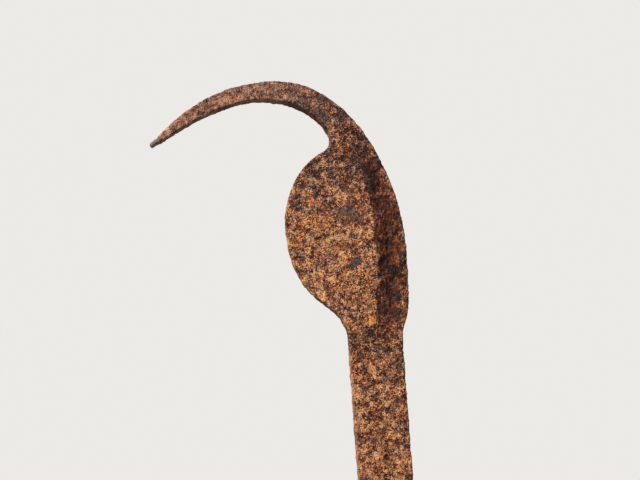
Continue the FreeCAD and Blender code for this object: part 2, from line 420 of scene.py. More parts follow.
class Value:
    """The output of a shader node, with arithmetic that adds Math nodes."""

    def __init__(self, wiring: "Wiring", socket: bpy.types.NodeSocket) -> None:
        """Wraps a socket.

        Args:
            wiring: the node tree that holds the socket.
            socket: the output socket.
        """
        self.wiring = wiring
        self.socket = socket

    def _maths(self, operation: str, first: Operand, second: Operand) -> "Value":
        """Adds one Math node and returns its output."""
        return self.wiring.node("ShaderNodeMath", {"operation": operation}, {0: first, 1: second})

    def __add__(self, other: Operand) -> "Value":
        """Returns self + other."""
        return self._maths("ADD", self, other)

    def __radd__(self, other: Operand) -> "Value":
        """Returns other + self."""
        return self._maths("ADD", other, self)

    def __sub__(self, other: Operand) -> "Value":
        """Returns self - other."""
        return self._maths("SUBTRACT", self, other)

    def __rsub__(self, other: Operand) -> "Value":
        """Returns other - self."""
        return self._maths("SUBTRACT", other, self)

    def __mul__(self, other: Operand) -> "Value":
        """Returns self * other."""
        return self._maths("MULTIPLY", self, other)

    def __rmul__(self, other: Operand) -> "Value":
        """Returns other * self."""
        return self._maths("MULTIPLY", other, self)

    def __pow__(self, other: Operand) -> "Value":
        """Returns self to the power of other."""
        return self._maths("POWER", self, other)

    def most(self, other: Operand) -> "Value":
        """Returns the greater of the two."""
        return self._maths("MAXIMUM", self, other)

    def size(self) -> "Value":
        """Returns the value without its sign."""
        return self._maths("ABSOLUTE", self, 0.0)

    def sine(self) -> "Value":
        """Returns the sine of the value."""
        return self._maths("SINE", self, 0.0)

    def rise(self, low: float, high: float) -> "Value":
        """Turns the value into a share.

        Args:
            low: where the share is 0; it may be greater than high.
            high: where the share is 1.

        Returns:
            The share, with a smooth rise between the two.
        """
        if low > high:
            return 1.0 - self.rise(high, low)
        return self.wiring.node(
            "ShaderNodeMapRange",
            {"interpolation_type": "SMOOTHSTEP"},
            {"Value": self, "From Min": low, "From Max": high},
        )


Input = Union[Value, float, Tuple[float, ...]]


def paint(code: str) -> Tuple[float, float, float, float]:
    """Turns a colour code into a colour.

    Args:
        code: a code such as "#8a5432".

    Returns:
        Linear red, green, blue and alpha.
    """
    parts = [int(code[i : i + 2], 16) / 255.0 for i in (1, 3, 5)]
    linear = [c / 12.92 if c <= 0.04045 else ((c + 0.055) / 1.055) ** 2.4 for c in parts]
    return (linear[0], linear[1], linear[2], 1.0)


class Wiring:
    """A node tree that starts empty and is filled node by node."""

    def __init__(self, tree: bpy.types.NodeTree) -> None:
        """Empties the tree.

        Args:
            tree: the node tree of a material or of the world.
        """
        self.tree = tree
        self.tree.nodes.clear()

    def node(
        self,
        kind: str,
        settings: Dict[str, object],
        inputs: Dict[Union[int, str], Input],
        output: Union[int, str] = 0,
    ) -> Value:
        """Adds one node.

        Args:
            kind: the node's type.
            settings: its properties; "stops" are the places and colours of a ramp.
            inputs: what goes into its sockets, by name or number.
            output: the socket that the result is read from.

        Returns:
            The wrapped output.
        """
        made = self.tree.nodes.new(kind)
        for key, value in settings.items():
            if key == "stops":
                self._set_stops(made.color_ramp, value)
            else:
                setattr(made, key, value)
        for key, value in inputs.items():
            if isinstance(value, Value):
                self.tree.links.new(value.socket, made.inputs[key])
            else:
                made.inputs[key].default_value = value
        return Value(self, made.outputs[output] if len(made.outputs) else None)

    @staticmethod
    def _set_stops(ramp: bpy.types.ColorRamp, stops: Sequence[Tuple[float, str]]) -> None:
        """Sets the stops of a ramp.

        Args:
            ramp: the ramp.
            stops: the places and colour codes.
        """
        while len(ramp.elements) < len(stops):
            ramp.elements.new(1.0)
        for element, (at, code) in zip(ramp.elements, stops):
            element.position = at
            element.color = paint(code)


class Recipe(Wiring):
    """The node tree of one material."""

    MIX_COLOUR = {"data_type": "RGBA"}
    MIX_FACTOR, MIX_A, MIX_B, MIX_RESULT = 0, 6, 7, 2

    def __init__(self, name: str) -> None:
        """Starts an empty material.

        Args:
            name: the material's name.
        """
        self.material = bpy.data.materials.new(name)
        self.material.use_nodes = True
        super().__init__(self.material.node_tree)
        where = self.node("ShaderNodeTexCoord", {}, {}, "Object")
        self.place = self.node(
            "ShaderNodeVectorMath", {"operation": "SCALE"}, {"Vector": where, "Scale": 1.0 / MM}
        )

    def axes(self) -> Tuple[Value, Value, Value]:
        """Splits the place on the piece.

        Returns:
            The place along X, Y and Z, in millimetres.
        """
        return tuple(
            self.node("ShaderNodeSeparateXYZ", {}, {"Vector": self.place}, name) for name in "XYZ"
        )

    def moved(self, shift: Point, stretch: Point = (1.0, 1.0, 1.0)) -> Value:
        """Shifts the place and then squeezes it, to centre or draw out a pattern.

        Args:
            shift: how far the pattern is moved, in millimetres.
            stretch: how many times longer its features are along each axis.

        Returns:
            The new place.
        """
        squeeze = tuple(1.0 / s for s in stretch)
        return self.node(
            "ShaderNodeMapping",
            {"vector_type": "POINT"},
            {"Vector": self.place, "Location": shift, "Scale": squeeze},
        )

    def noise(
        self, grain: float, detail: float = 2.0, rough: float = 0.55, at: Optional[Value] = None
    ) -> Value:
        """Adds soft noise.

        Args:
            grain: size of its features, in millimetres.
            detail: how many finer layers it carries.
            rough: how strong the finer layers are.
            at: the place to read it at, or None for the place on the piece.

        Returns:
            A value that swings about 0, mostly between -0.3 and 0.3.
        """
        raw = self.node(
            "ShaderNodeTexNoise",
            {"noise_dimensions": "3D", "normalize": True},
            {
                "Vector": at or self.place,
                "Scale": 1.0 / grain,
                "Detail": detail,
                "Roughness": rough,
            },
        )
        return raw - 0.5

    def cells(self, grain: float, at: Optional[Value] = None) -> Value:
        """Adds a cell pattern.

        Args:
            grain: size of a cell, in millimetres.
            at: the place to read it at, or None for the place on the piece.

        Returns:
            A value that is 0 in the middle of each cell and about 1 between cells.
        """
        return self.node(
            "ShaderNodeTexVoronoi",
            {"feature": "F1"},
            {"Vector": at or self.place, "Scale": 1.0 / grain},
            "Distance",
        )

    def attribute(self, name: str) -> Value:
        """Reads a number that the piece stores for each vertex."""
        return self.node("ShaderNodeAttribute", {"attribute_name": name}, {}, "Fac")

    def ramp(self, value: Value, stops: Sequence[Tuple[float, str]]) -> Value:
        """Turns a value into a colour by stops of place and colour code."""
        return self.node("ShaderNodeValToRGB", {"stops": stops}, {"Fac": value}, "Color")

    def blend(self, share: Operand, first: Input, second: Input) -> Value:
        """Mixes two colours: the first where share is 0, the second where it is 1."""
        inputs = {self.MIX_FACTOR: share, self.MIX_A: first, self.MIX_B: second}
        return self.node("ShaderNodeMix", self.MIX_COLOUR, inputs, self.MIX_RESULT)

    def bumps(self, height: Value, distance: float) -> Value:
        """Turns a height into a bump.

        Args:
            height: the height.
            distance: what a height of 1 stands for, in millimetres.

        Returns:
            The bumped normal.
        """
        inputs = {"Height": height, "Distance": distance * MM, "Strength": 1.0}
        return self.node("ShaderNodeBump", {}, inputs, "Normal")

    def finish(self, inputs: Dict[Union[int, str], Input]) -> bpy.types.Material:
        """Closes the recipe with a surface shader.

        Args:
            inputs: the shader's inputs.

        Returns:
            The finished material.
        """
        shader = self.node("ShaderNodeBsdfPrincipled", {}, inputs, "BSDF")
        self.node("ShaderNodeOutputMaterial", {}, {"Surface": shader})
        return self.material


# ---------------------------------------------------------------------------------------------
# Finishes
# ---------------------------------------------------------------------------------------------


@dataclass(frozen=True)
class RustTones:
    """Colours of one kind of rust, from the bottom of a pit to the loose dust on top.

    Attributes:
        pit: the bottom of a pit.
        scale: the firm, dark scale.
        body: the rust in the middle of the swing.
        bloom: the loose bloom.
        dust: the palest crumbs.
    """

    pit: str
    scale: str
    body: str
    bloom: str
    dust: str

    # Where the five colours lie along a tone from 0 to 1.
    PLACES = (0.12, 0.34, 0.50, 0.68, 0.90)

    def stops(self) -> List[Tuple[float, str]]:
        """Returns the places and colours of the ramp that turns a tone into rust."""
        return list(zip(self.PLACES, (self.pit, self.scale, self.body, self.bloom, self.dust)))


OCHRE = RustTones("#2b0f05", "#682a10", "#9e5122", "#d4823a", "#f2bc84")
RUSSET = RustTones("#2c0e07", "#65240f", "#8f3f20", "#ba6238", "#dc9a72")
PLUM = RustTones("#1e1211", "#432822", "#70463a", "#a07463", "#dcb8a8")
SALMON = RustTones("#3a2018", "#6a4032", "#965b46", "#b57a5a", "#d9a98b")
MAUVE = RustTones("#33231f", "#5f4942", "#866459", "#a7877c", "#cfb3a7")
UMBER = RustTones("#24140c", "#452a1a", "#6a4329", "#8f5f3b", "#b98a5e")
SOOT = RustTones("#191412", "#332824", "#4d3c35", "#6c574e", "#97837a")
EDGE = RustTones("#47301f", "#76513c", "#a57a5f", "#c9a187", "#e0c4ae")
FRESH = RustTones("#8a4514", "#bf6c24", "#e38c34", "#f6a850", "#fccb8c")
DARK_SCALE = "#221c1d"
BARE_SCALE = "#454046"
# Pale colour of the painted highlight specks that stand in for light glinting off the dark scale.
PAINTED_GLINT = "#b4aeb2"
RED_BLOOM = "#9a4a2b"
BRIGHT_IRON = "#8f8983"


@dataclass(frozen=True)
class Rust:
    """Rust of old forged iron: orange and purplish bloom over dark scale, darker in every pit.

    Attributes:
        name: the material's name.
        warm: the colours of the orange bloom.
        cool: the colours of the older, purplish rust between.
        contrast: how far the speckle swings.
        level: the tone in the middle of the swing.
        warmth: how much of the rust is orange.
    """

    name: str
    warm: RustTones = OCHRE
    cool: RustTones = PLUM
    contrast: float = 1.0
    level: float = 0.5
    warmth: float = 0.55

    # Sizes of the features, in millimetres, from the finest to the broadest.
    GRIT = 0.36
    # Size of the painted highlight specks on the dark scale.
    PAINTED_GLINTS = 0.5
    SPECKLE = 0.64
    TINT = 0.66
    GRAINS = 0.8
    CLOTS = 2.3
    PLATES = 3.6
    FLAKES = 4.6
    PATCHES = 6.5
    AREAS = 14.0
    # How glossy the rust is.
    SHEEN = 0.4
    # What a bump of 1 stands for, in millimetres, and how much narrow faces damp it.
    BUMP = 0.42
    WORN_EVEN = 0.6

    def colour(self, recipe: Recipe, tone: Value, warmth: Value) -> Value:
        """Turns the tone and the warmth into a colour.

        Args:
            recipe: the recipe being written.
            tone: 0 in a pit, 1 on the loosest bloom.
            warmth: 0 where the rust is old and purplish, 1 where it is fresh and orange.

        Returns:
            The colour.
        """
        return recipe.blend(
            warmth, recipe.ramp(tone, self.cool.stops()), recipe.ramp(tone, self.warm.stops())
        )

    def shade(self, recipe: Recipe) -> Value:
        """Returns how much lighter or darker each area of the piece is, about 0."""
        return recipe.noise(self.AREAS, 2.0) * 0.5

    def calm(self, recipe: Recipe) -> Operand:
        """Returns how much the speckle is damped in each area, from 0 to 1."""
        return 0.0

    def coolness(self, recipe: Recipe) -> Operand:
        """Returns how much of the orange each area has lost, from 0 to 1."""
        return 0.0

    def flaking(self, recipe: Recipe) -> Value:
        """Returns how far the rust has lifted; from about 0.1 on it flakes off to dark scale."""
        return recipe.noise(self.FLAKES, 3.0, 0.6)

    def dark_scale(self, recipe: Recipe, swing: Value) -> Value:
        """Mixes the scale that shows where rust has flaked off.

        Args:
            recipe: the recipe being written.
            swing: the fine speckle, about 0.

        Returns:
            Its colour: dark, greyer on high spots, with a few pale specks of painted highlight that stand
                in for light glinting off the scale.
        """
        dark = recipe.blend(swing.rise(-0.2, 0.3), paint(DARK_SCALE), paint(BARE_SCALE))
        # Painted highlights: pale specks that stand in for light glinting off the scale.
        painted_glints = recipe.noise(self.PAINTED_GLINTS, 1.0, at=recipe.moved((0.0, 0.0, 91.0))).rise(0.15, 0.24)
        return recipe.blend(painted_glints * 0.8, dark, paint(PAINTED_GLINT))

    def tone_and_warmth(self, recipe: Recipe, fine: Value, narrow: Value) -> Tuple[Value, Value]:
        """Lays the fine speckle over clots, plates and patches of lighter and darker rust.

        Args:
            recipe: the recipe being written.
            fine: the finest speckle, about 0.
            narrow: 1 on the narrow faces, where hands and work have worn the rust even.

        Returns:
            The tone, from 0 in a pit to 1 on loose bloom, and the warmth, from 0 to 1.
        """
        clots = recipe.noise(self.CLOTS, 2.0, 0.5)
        patches = recipe.noise(self.PATCHES, 3.0, 0.5, at=recipe.moved((31.0, 7.0, 0.0)))
        plates = recipe.noise(self.PLATES, 3.0, 0.6, at=recipe.moved((5.0, 0.0, 43.0)))
        plates = plates.rise(-0.06, 0.06) - 0.5
        tint = recipe.noise(self.TINT, 1.0, 0.6, at=recipe.moved((0.0, 53.0, 17.0)))
        lean = patches * 1.6 + plates * 0.75 + clots + tint * 0.5
        swing = fine + clots * 0.75 + recipe.attribute(RELIEF) * 0.9
        swing = swing * self.contrast * (1.0 - self.calm(recipe)) * (1.0 - narrow * self.WORN_EVEN)
        tone = self.level + self.shade(recipe) + patches * 0.10 + plates * 0.05 + lean * 0.14 + swing
        warmth = self.warmth + lean + tint * 2.0 - self.coolness(recipe)
        return tone, warmth.rise(0.0, 1.0)

    def mix(self) -> bpy.types.Material:
        """Writes the recipe.

        Returns:
            The material.
        """
        recipe = Recipe(self.name)
        narrow = recipe.attribute(NARROW)
        grit = recipe.noise(self.GRIT, 1.0, 0.5)
        speckle = recipe.noise(self.SPECKLE, 1.0, 0.5)
        grains = recipe.cells(self.GRAINS)
        fine = grit * 1.8 + speckle * 1.3 - (grains - 0.5) * 0.25
        tone, warmth = self.tone_and_warmth(recipe, fine, narrow)
        flakes = (self.flaking(recipe) + speckle * 0.45).rise(0.08, 0.18) * 0.82
        scale = self.dark_scale(recipe, grit + speckle)
        colour = recipe.blend(flakes, self.colour(recipe, tone, warmth), scale)
        colour = recipe.blend(narrow * 0.62, colour, recipe.ramp(tone, EDGE.stops()))
        height = grit * 0.7 + speckle - grains * 0.5 - flakes * 0.3
        return recipe.finish(
            {
                "Base Color": colour,
                "Roughness": 0.95 - tone.rise(0.42, 0.25) * 0.25 - flakes * 0.25,
                "Normal": recipe.bumps(height * (1.0 - narrow * self.WORN_EVEN), self.BUMP),
                "Specular IOR Level": self.SHEEN,
            }
        )


@dataclass(frozen=True)
class Mark:
    """A spot on the blade's front.

    Attributes:
        x: the place of its middle to the right of the centre line.
        z: the height of its middle.
        radius: its radius.
    """

    x: float
    z: float
    radius: float


@dataclass(frozen=True)
class BladeRust(Rust):
    """The blade's rust: orange on the lobe and bar, dark beyond the ridge, partly as painted shade of the
    flank that faces away from the key light, salmon on the beak.

    Attributes:
        ridge_x: how far right of the centre line the ridge stands where it is highest.
        ridge_z: the height of that place.
        ridge_bend: how fast the ridge curves to the left below and above that place.
        flank_z: the lowest and highest height of the dark flank, whose darkening is partly painted shade
            and partly browner rust.
        root_z: the height where the dark root between lobe and beak is darkest.
        neck_z: the height of the dark neck below the lobe.
        bar_z: the height of the flat bar's upper end.
        lobe_z: the lowest and highest height of the lobe.
        beak_x: places along X between which the beak's own rust comes in.
        beak_z: heights between which it comes in.
        fresh: a spot of fresh ochre under the lobe.
        red: a patch of red bloom on the ridge.
        scars: the largest spots where rust has flaked off.
        tip: the worn point of the beak.
    """

    ridge_x: float = 3.1
    ridge_z: float = 273.0
    ridge_bend: Tuple[float, float] = (0.0024, 0.0048)
    flank_z: Tuple[float, float] = (226.0, 330.0)
    root_z: float = 326.0
    neck_z: float = 225.5
    bar_z: float = 222.0
    lobe_z: Tuple[float, float] = (236.0, 310.0)
    beak_x: Tuple[float, float] = (-6.0, -26.0)
    beak_z: Tuple[float, float] = (318.0, 326.0)
    fresh: Mark = Mark(-1.5, 236.1, 2.2)
    red: Mark = Mark(6.3, 282.3, 3.4)
    scars: Tuple[Mark, ...] = (
        Mark(-5.3, 176.7, 2.7),
        Mark(-11.2, 290.2, 3.4),
        Mark(-7.4, 266.2, 3.2),
        Mark(-12.4, 308.2, 3.0),
        Mark(-8.0, 226.5, 2.6),
    )
    tip: Mark = Mark(-106.5, 331.0, 5.0)

    def from_ridge(self, recipe: Recipe) -> Value:
        """Follows the ridge, which curves to the left below and above its highest place.

        Args:
            recipe: the recipe being written.

        Returns:
            How far a place lies to the right of the ridge, in millimetres.
        """
        x, _, z = recipe.axes()
        below = (self.ridge_z - z).most(0.0)
        above = (z - self.ridge_z).most(0.0)
        low_bend, high_bend = self.ridge_bend
        return x - self.ridge_x + below * below * low_bend + above * above * high_bend

    def on_front(self, recipe: Recipe) -> Value:
        """Returns 1 on the front face and 0 on the back."""
        return recipe.axes()[1].rise(3.0, 1.0)

    def beyond_ridge(self, recipe: Recipe) -> Value:
        """Marks the dark flank, which faces away from the key light; its darkening is partly painted shade,
        partly browner rust.

        Args:
            recipe: the recipe being written.

        Returns:
            1 on the front to the right of the ridge, less towards the rim, and 0 elsewhere.
        """
        _, _, z = recipe.axes()
        across = self.from_ridge(recipe) + recipe.noise(3.0, 3.0) * 3.0
        flank = across.rise(-0.6, 1.0) * (0.5 + across.rise(0.0, 6.0) * 0.5)
        flank = flank * (1.0 - across.rise(9.0, 15.0) * 0.5)
        low, high = self.flank_z
        return flank * z.rise(low, low + 14.0) * z.rise(high, high - 18.0) * self.on_front(recipe)

    def on_beak(self, recipe: Recipe) -> Value:
        """Returns 1 along the beak."""
        x, _, z = recipe.axes()
        return (x + recipe.noise(9.0, 3.0) * 22.0).rise(*self.beak_x) * z.rise(*self.beak_z)

    def at_root(self, recipe: Recipe) -> Value:
        """Marks the dark area between lobe and beak, which runs down the lobe's left rim.

        Args:
            recipe: the recipe being written.

        Returns:
            1 in that area and 0 elsewhere, with a ragged border.
        """
        x, _, z = recipe.axes()
        ragged = z - x * 0.30 + recipe.noise(9.0, 3.0) * 26.0 + recipe.noise(1.6, 2.0) * 9.0
        return ragged.rise(self.root_z - 27.0, self.root_z - 8.0) * x.rise(-46.0, -28.0)

    def spot(self, recipe: Recipe, mark: Mark) -> Value:
        """Marks a ragged spot on the front.

        Args:
            recipe: the recipe being written.
            mark: the spot's place and radius.

        Returns:
            1 inside the spot and 0 elsewhere.
        """
        x, _, z = recipe.axes()
        off_x, off_z = x - mark.x, z - mark.z
        apart = (off_x * off_x + off_z * off_z) ** 0.5
        ragged = apart + recipe.noise(1.5, 3.0, 0.6) * mark.radius * 2.6
        return ragged.rise(mark.radius * 1.15, mark.radius * 0.75) * self.on_front(recipe)

    def shade(self, recipe: Recipe) -> Value:
        """Darkens the rust beyond the ridge, partly as painted shade of the flank that faces away from the
        key light, and darkens it at the root and at the neck.

        Args:
            recipe: the recipe being written.

        Returns:
            How much lighter or darker each area is, about 0.
        """
        _, _, z = recipe.axes()
        neck = (z - self.neck_z + recipe.noise(5.0, 3.0) * 13.0).size().rise(10.0, 3.0)
        # The darkening beyond the ridge is partly painted shade: the flank there faces away from the key
        # light.
        dark = self.beyond_ridge(recipe) * 0.11 + self.at_root(recipe) * 0.15 + neck * 0.18
        return recipe.noise(9.0, 2.0) * 0.24 - dark + self.on_beak(recipe) * 0.02

    def calm(self, recipe: Recipe) -> Value:
        """Returns how much the speckle is damped: beyond the ridge most, on the beak a little."""
        return (self.beyond_ridge(recipe) * 0.74).most(self.on_beak(recipe) * 0.42)

    def coolness(self, recipe: Recipe) -> Value:
        """Takes orange from the flank and the root, and gives some to the lobe and the bar.

        Args:
            recipe: the recipe being written.

        Returns:
            How much of the orange each area has lost, from -0.3 to 0.9.
        """
        x, _, z = recipe.axes()
        low, high = self.lobe_z
        lobe = z.rise(low, low + 16.0) * z.rise(high, high - 20.0) * x.rise(2.0, -10.0)
        gained = lobe * 0.1 + z.rise(self.bar_z, self.bar_z - 18.0) * 0.14
        return self.beyond_ridge(recipe) * 0.6 + self.at_root(recipe) * 0.25 - gained

    def flaking(self, recipe: Recipe) -> Value:
        """Lifts the rust most at the scars, and hardly on the beak.

        Args:
            recipe: the recipe being written.

        Returns:
            How far the rust has lifted.
        """
        lifted = super().flaking(recipe) - self.on_beak(recipe) * 0.2
        x, _, z = recipe.axes()
        for scar in self.scars:
            off_x, off_z = x - scar.x, (z - scar.z) * 0.8
            apart = (off_x * off_x + off_z * off_z) ** 0.5
            lifted = lifted + apart.rise(scar.radius * 2.0, 0.0) * self.on_front(recipe) * 0.17
        return lifted

    def colour(self, recipe: Recipe, tone: Value, warmth: Value) -> Value:
        """Mixes the rusts of lobe and beak by where they lie, and adds the blade's own marks.

        Args:
            recipe: the recipe being written.
            tone: 0 in a pit, 1 on the loosest bloom.
            warmth: 0 where the rust is old and purplish, 1 where it is fresh and orange.

        Returns:
            The colour.
        """
        lobe = super().colour(recipe, tone, warmth)
        reddish = recipe.noise(4.6, 4.0, 0.75, at=recipe.moved((0.0, 23.0, 5.0))).rise(0.0, 0.09)
        lobe = recipe.blend(reddish * 0.75, lobe, recipe.ramp(tone, RUSSET.stops()))
        beak = recipe.blend(
            warmth, recipe.ramp(tone, MAUVE.stops()), recipe.ramp(tone, SALMON.stops())
        )
        rust = recipe.blend(self.on_beak(recipe), lobe, beak)
        speckled = tone.rise(0.15, 0.5)
        rust = recipe.blend(self.spot(recipe, self.red) * speckled * 0.7, rust, paint(RED_BLOOM))
        rust = recipe.blend(self.spot(recipe, self.tip) * 0.6, rust, paint(BRIGHT_IRON))
        return recipe.blend(self.spot(recipe, self.fresh), rust, recipe.ramp(tone, FRESH.stops()))


@dataclass(frozen=True)
class AshWood:
    """Old ash darkened by hands: rings, open pores, worn edges and iron stain.

    Attributes:
        name: the material's name.
        heart: where the tree's heart lies from the middle of the grip along X and Y.
        shift: moves the pattern along the grain, so that the two scales differ.
        rivets: heights of the rivets, round which iron has stained the wood.
        bands: heights of the two ferrules' inner edges, which stain it too.
    """

    name: str
    heart: Tuple[float, float]
    shift: float
    rivets: Tuple[float, ...]
    bands: Tuple[float, float]

    # Widths in millimetres of a year's ring, a fibre and a pore, then the gloss and the colours.
    RING = 2.4
    FIBRE = 0.42
    PORES = 0.62
    SHEEN = 0.42
    PALE = "#ad875c"
    DARK = "#5f4028"
    PORE = "#2c1c12"
    GRIME = "#3d2a1c"
    STAIN = "#1c1512"

    def mix(self) -> bpy.types.Material:
        """Writes the recipe.

        Returns:
            The material.
        """
        recipe = Recipe(self.name)
        x, y, z = recipe.axes()
        waver = recipe.noise(16.0, 2.0, at=self.along(recipe, (self.shift, 0.0, 0.0), 14.0)) * 7.0
        from_x, from_y = x - self.heart[0] + waver, y - self.heart[1] + waver * 0.6
        radius = (from_x * from_x + from_y * from_y) ** 0.5
        rings = (radius * (2.0 * math.pi / self.RING)).sine() * 0.5 + 0.5
        late = rings.rise(0.35, 0.95)
        fibre = recipe.noise(
            self.FIBRE, 3.0, 0.7, at=self.along(recipe, (0.0, self.shift, 0.0), 34.0)
        )
        pores = recipe.cells(self.PORES, at=self.along(recipe, (self.shift, 0.0, 3.0), 13.0))
        pore = pores.rise(0.26, 0.14) * rings.rise(0.8, 0.25)
        check = self.checks(recipe)
        wood = recipe.blend(late * 0.55 + fibre * 1.9, paint(self.PALE), paint(self.DARK))
        wood = recipe.blend(pore * 0.9, wood, paint(self.PORE))
        grime = recipe.noise(11.0, 4.0, 0.65, at=self.along(recipe, (5.0, 0.0, 0.0), 3.0))
        wood = recipe.blend((grime + fibre * 0.6).rise(-0.06, 0.16) * 0.45, wood, paint(self.GRIME))
        wood = recipe.blend(self.stain(recipe, x, z), wood, paint(self.STAIN))
        relief = recipe.attribute(RELIEF)
        sunk = (relief * -3.0).rise(0.15, 0.9).most(check)
        wood = recipe.blend(sunk * 0.9, wood, paint(self.PORE))
        worn = (relief * 3.0).rise(0.1, 0.8)
        return recipe.finish(
            {
                "Base Color": wood,
                "Roughness": 0.6 + fibre * 0.5 + pore * 0.2 - worn * 0.18,
                "Normal": recipe.bumps(fibre * 0.9 - pore - check * 1.6 - late * 0.25, 0.2),
                "Specular IOR Level": self.SHEEN,
            }
        )

    def along(self, recipe: Recipe, shift: Point, times: float) -> Value:
        """Returns the place for a pattern that is shifted, and drawn out along the grain."""
        return recipe.moved(shift, (1.0, 1.0, times))

    def checks(self, recipe: Recipe) -> Value:
        """Opens fine drying checks along the grain.

        Args:
            recipe: the recipe being written.

        Returns:
            1 in a check and 0 elsewhere.
        """
        drawn = self.along(recipe, (0.0, 11.0, self.shift), 16.0)
        line = recipe.noise(4.5, 1.0, 0.5, at=drawn).size().rise(0.012, 0.004)
        return line * recipe.noise(9.0, 1.0, at=recipe.moved((3.0, 0.0, 0.0))).rise(0.02, 0.08)

    def stain(self, recipe: Recipe, x: Value, z: Value) -> Value:
        """Returns how black the iron has stained the wood.

        Args:
            recipe: the recipe being written.
            x: the place across the grip.
            z: the height on the piece.

        Returns:
            A share from 0 to 1: a long spot round each rivet and a fringe at each ferrule.
        """
        ragged = recipe.noise(1.3, 4.0, 0.65, at=self.along(recipe, (0.0, 0.0, 0.0), 9.0)) * 15.0
        low, high = self.bands
        edge = (z - (low + high) / 2).size() + ragged * 0.5
        near = edge.rise((high - low) / 2 - 5.0, (high - low) / 2) * 0.9
        for height in self.rivets:
            off = (z - height) * 0.55
            apart = (x * x + off * off) ** 0.5 + ragged * 0.45
            near = apart.rise(10.5, 7.0).most(near)
        return near * 0.8


@dataclass(frozen=True)
class Plaster:
    """The pale, faintly mottled floor.

    Attributes:
        name: the material's name.
        tone: the floor's colour.
        mottle: the colour of its darker areas.
    """

    name: str
    tone: str = "#c8ccd2"
    mottle: str = "#b9bcc1"

    def mix(self) -> bpy.types.Material:
        """Writes the recipe.

        Returns:
            The material.
        """
        recipe = Recipe(self.name)
        share = recipe.noise(180.0, 4.0) * 0.25 + 0.1
        colour = recipe.blend(share, paint(self.tone), paint(self.mottle))
        return recipe.finish({"Base Color": colour, "Roughness": 0.9})


# ---------------------------------------------------------------------------------------------
# Sub-assemblies
# ---------------------------------------------------------------------------------------------


@dataclass
class Forging:
    """The one-piece iron blade: beak, ridged lobe and flat bar, with the tang inside the grip.

    Attributes:
        cell: size of the mesh's quads, in millimetres.
        smoothing: how many rounds of smoothing soften its edges.
        triangles: how many triangles it may keep.
        covered: lowest and highest height of the tang that the grip hides.
        fade: the height over which the relief fades out where the grip begins.
        sides: how far a surface faces forwards where it starts and ends to count as narrow.
        hidden_share: the share of its faces that the hidden tang keeps.
        hammered: the smith's undulation.
        corroded: layers of corrosion, from flaking scale to pits.
        finish: the blade's rust.
    """

    cell: float = 0.42
    smoothing: int = 7
    triangles: int = 192000
    covered: Tuple[float, float] = (15.0, 131.0)
    fade: float = 1.5
    sides: Tuple[float, float] = (0.6, 0.3)
    hidden_share: float = 0.04
    hammered: Tuple[Relief, ...] = (
        Relief(Texture.CLOUDS, 17.0, 0.55, detail=1),
        Relief(Texture.CLOUDS, 7.0, 0.22, detail=1),
    )
    corroded: Tuple[Relief, ...] = (
        Relief(Texture.CLOUDS, 4.2, 0.26, hardness=3.2, detail=2),
        Relief(Texture.CELLS, 1.5, 0.34, hardness=1.5, level=0.45),
        Relief(Texture.CLOUDS, 0.85, 0.26, hardness=1.4, detail=1),
    )
    finish: BladeRust = BladeRust("blade_rust", contrast=1.44, level=0.49, warmth=0.59)

    def build(self) -> bpy.types.Object:
        """Works the blade from its node.

        Returns:
            The finished piece.
        """
        piece = copy_of_node("hook_blade", "forged_blade")
        remesh(piece, self.cell, self.smoothing)
        low, high = self.covered
        height = points_of(piece)[:, 2]
        above = ramp_between(height, low - self.fade, low)
        below = ramp_between(height, high + self.fade, high)
        mask_group(piece, "bare", 1.0 - above * below)
        forwards = np.abs(normals_of(piece)[:, 1])
        write_attribute(piece, NARROW, ramp_between(forwards, *self.sides))
        emboss(piece, self.hammered, "bare")
        before, outward = points_of(piece), normals_of(piece)
        emboss(piece, self.corroded, "bare")
        store_relief(piece, before, outward)
        self._thin_tang(piece)
        thin_out(piece, self.triangles)
        piece.data.materials.append(self.finish.mix())
        settle(piece, ["hook_blade"], "forged_iron")
        return piece

    def _thin_tang(self, piece: bpy.types.Object) -> None:
        """Thins out the hidden tang, which needs few triangles.

        Args:
            piece: the blade.
        """
        low, high = (edge * MM for edge in self.covered)
        begin_edit(piece, "FACE")
        select_faces(piece, lambda face: low < face.center.z < high)
        bpy.ops.mesh.decimate(ratio=self.hidden_share)
        end_edit()


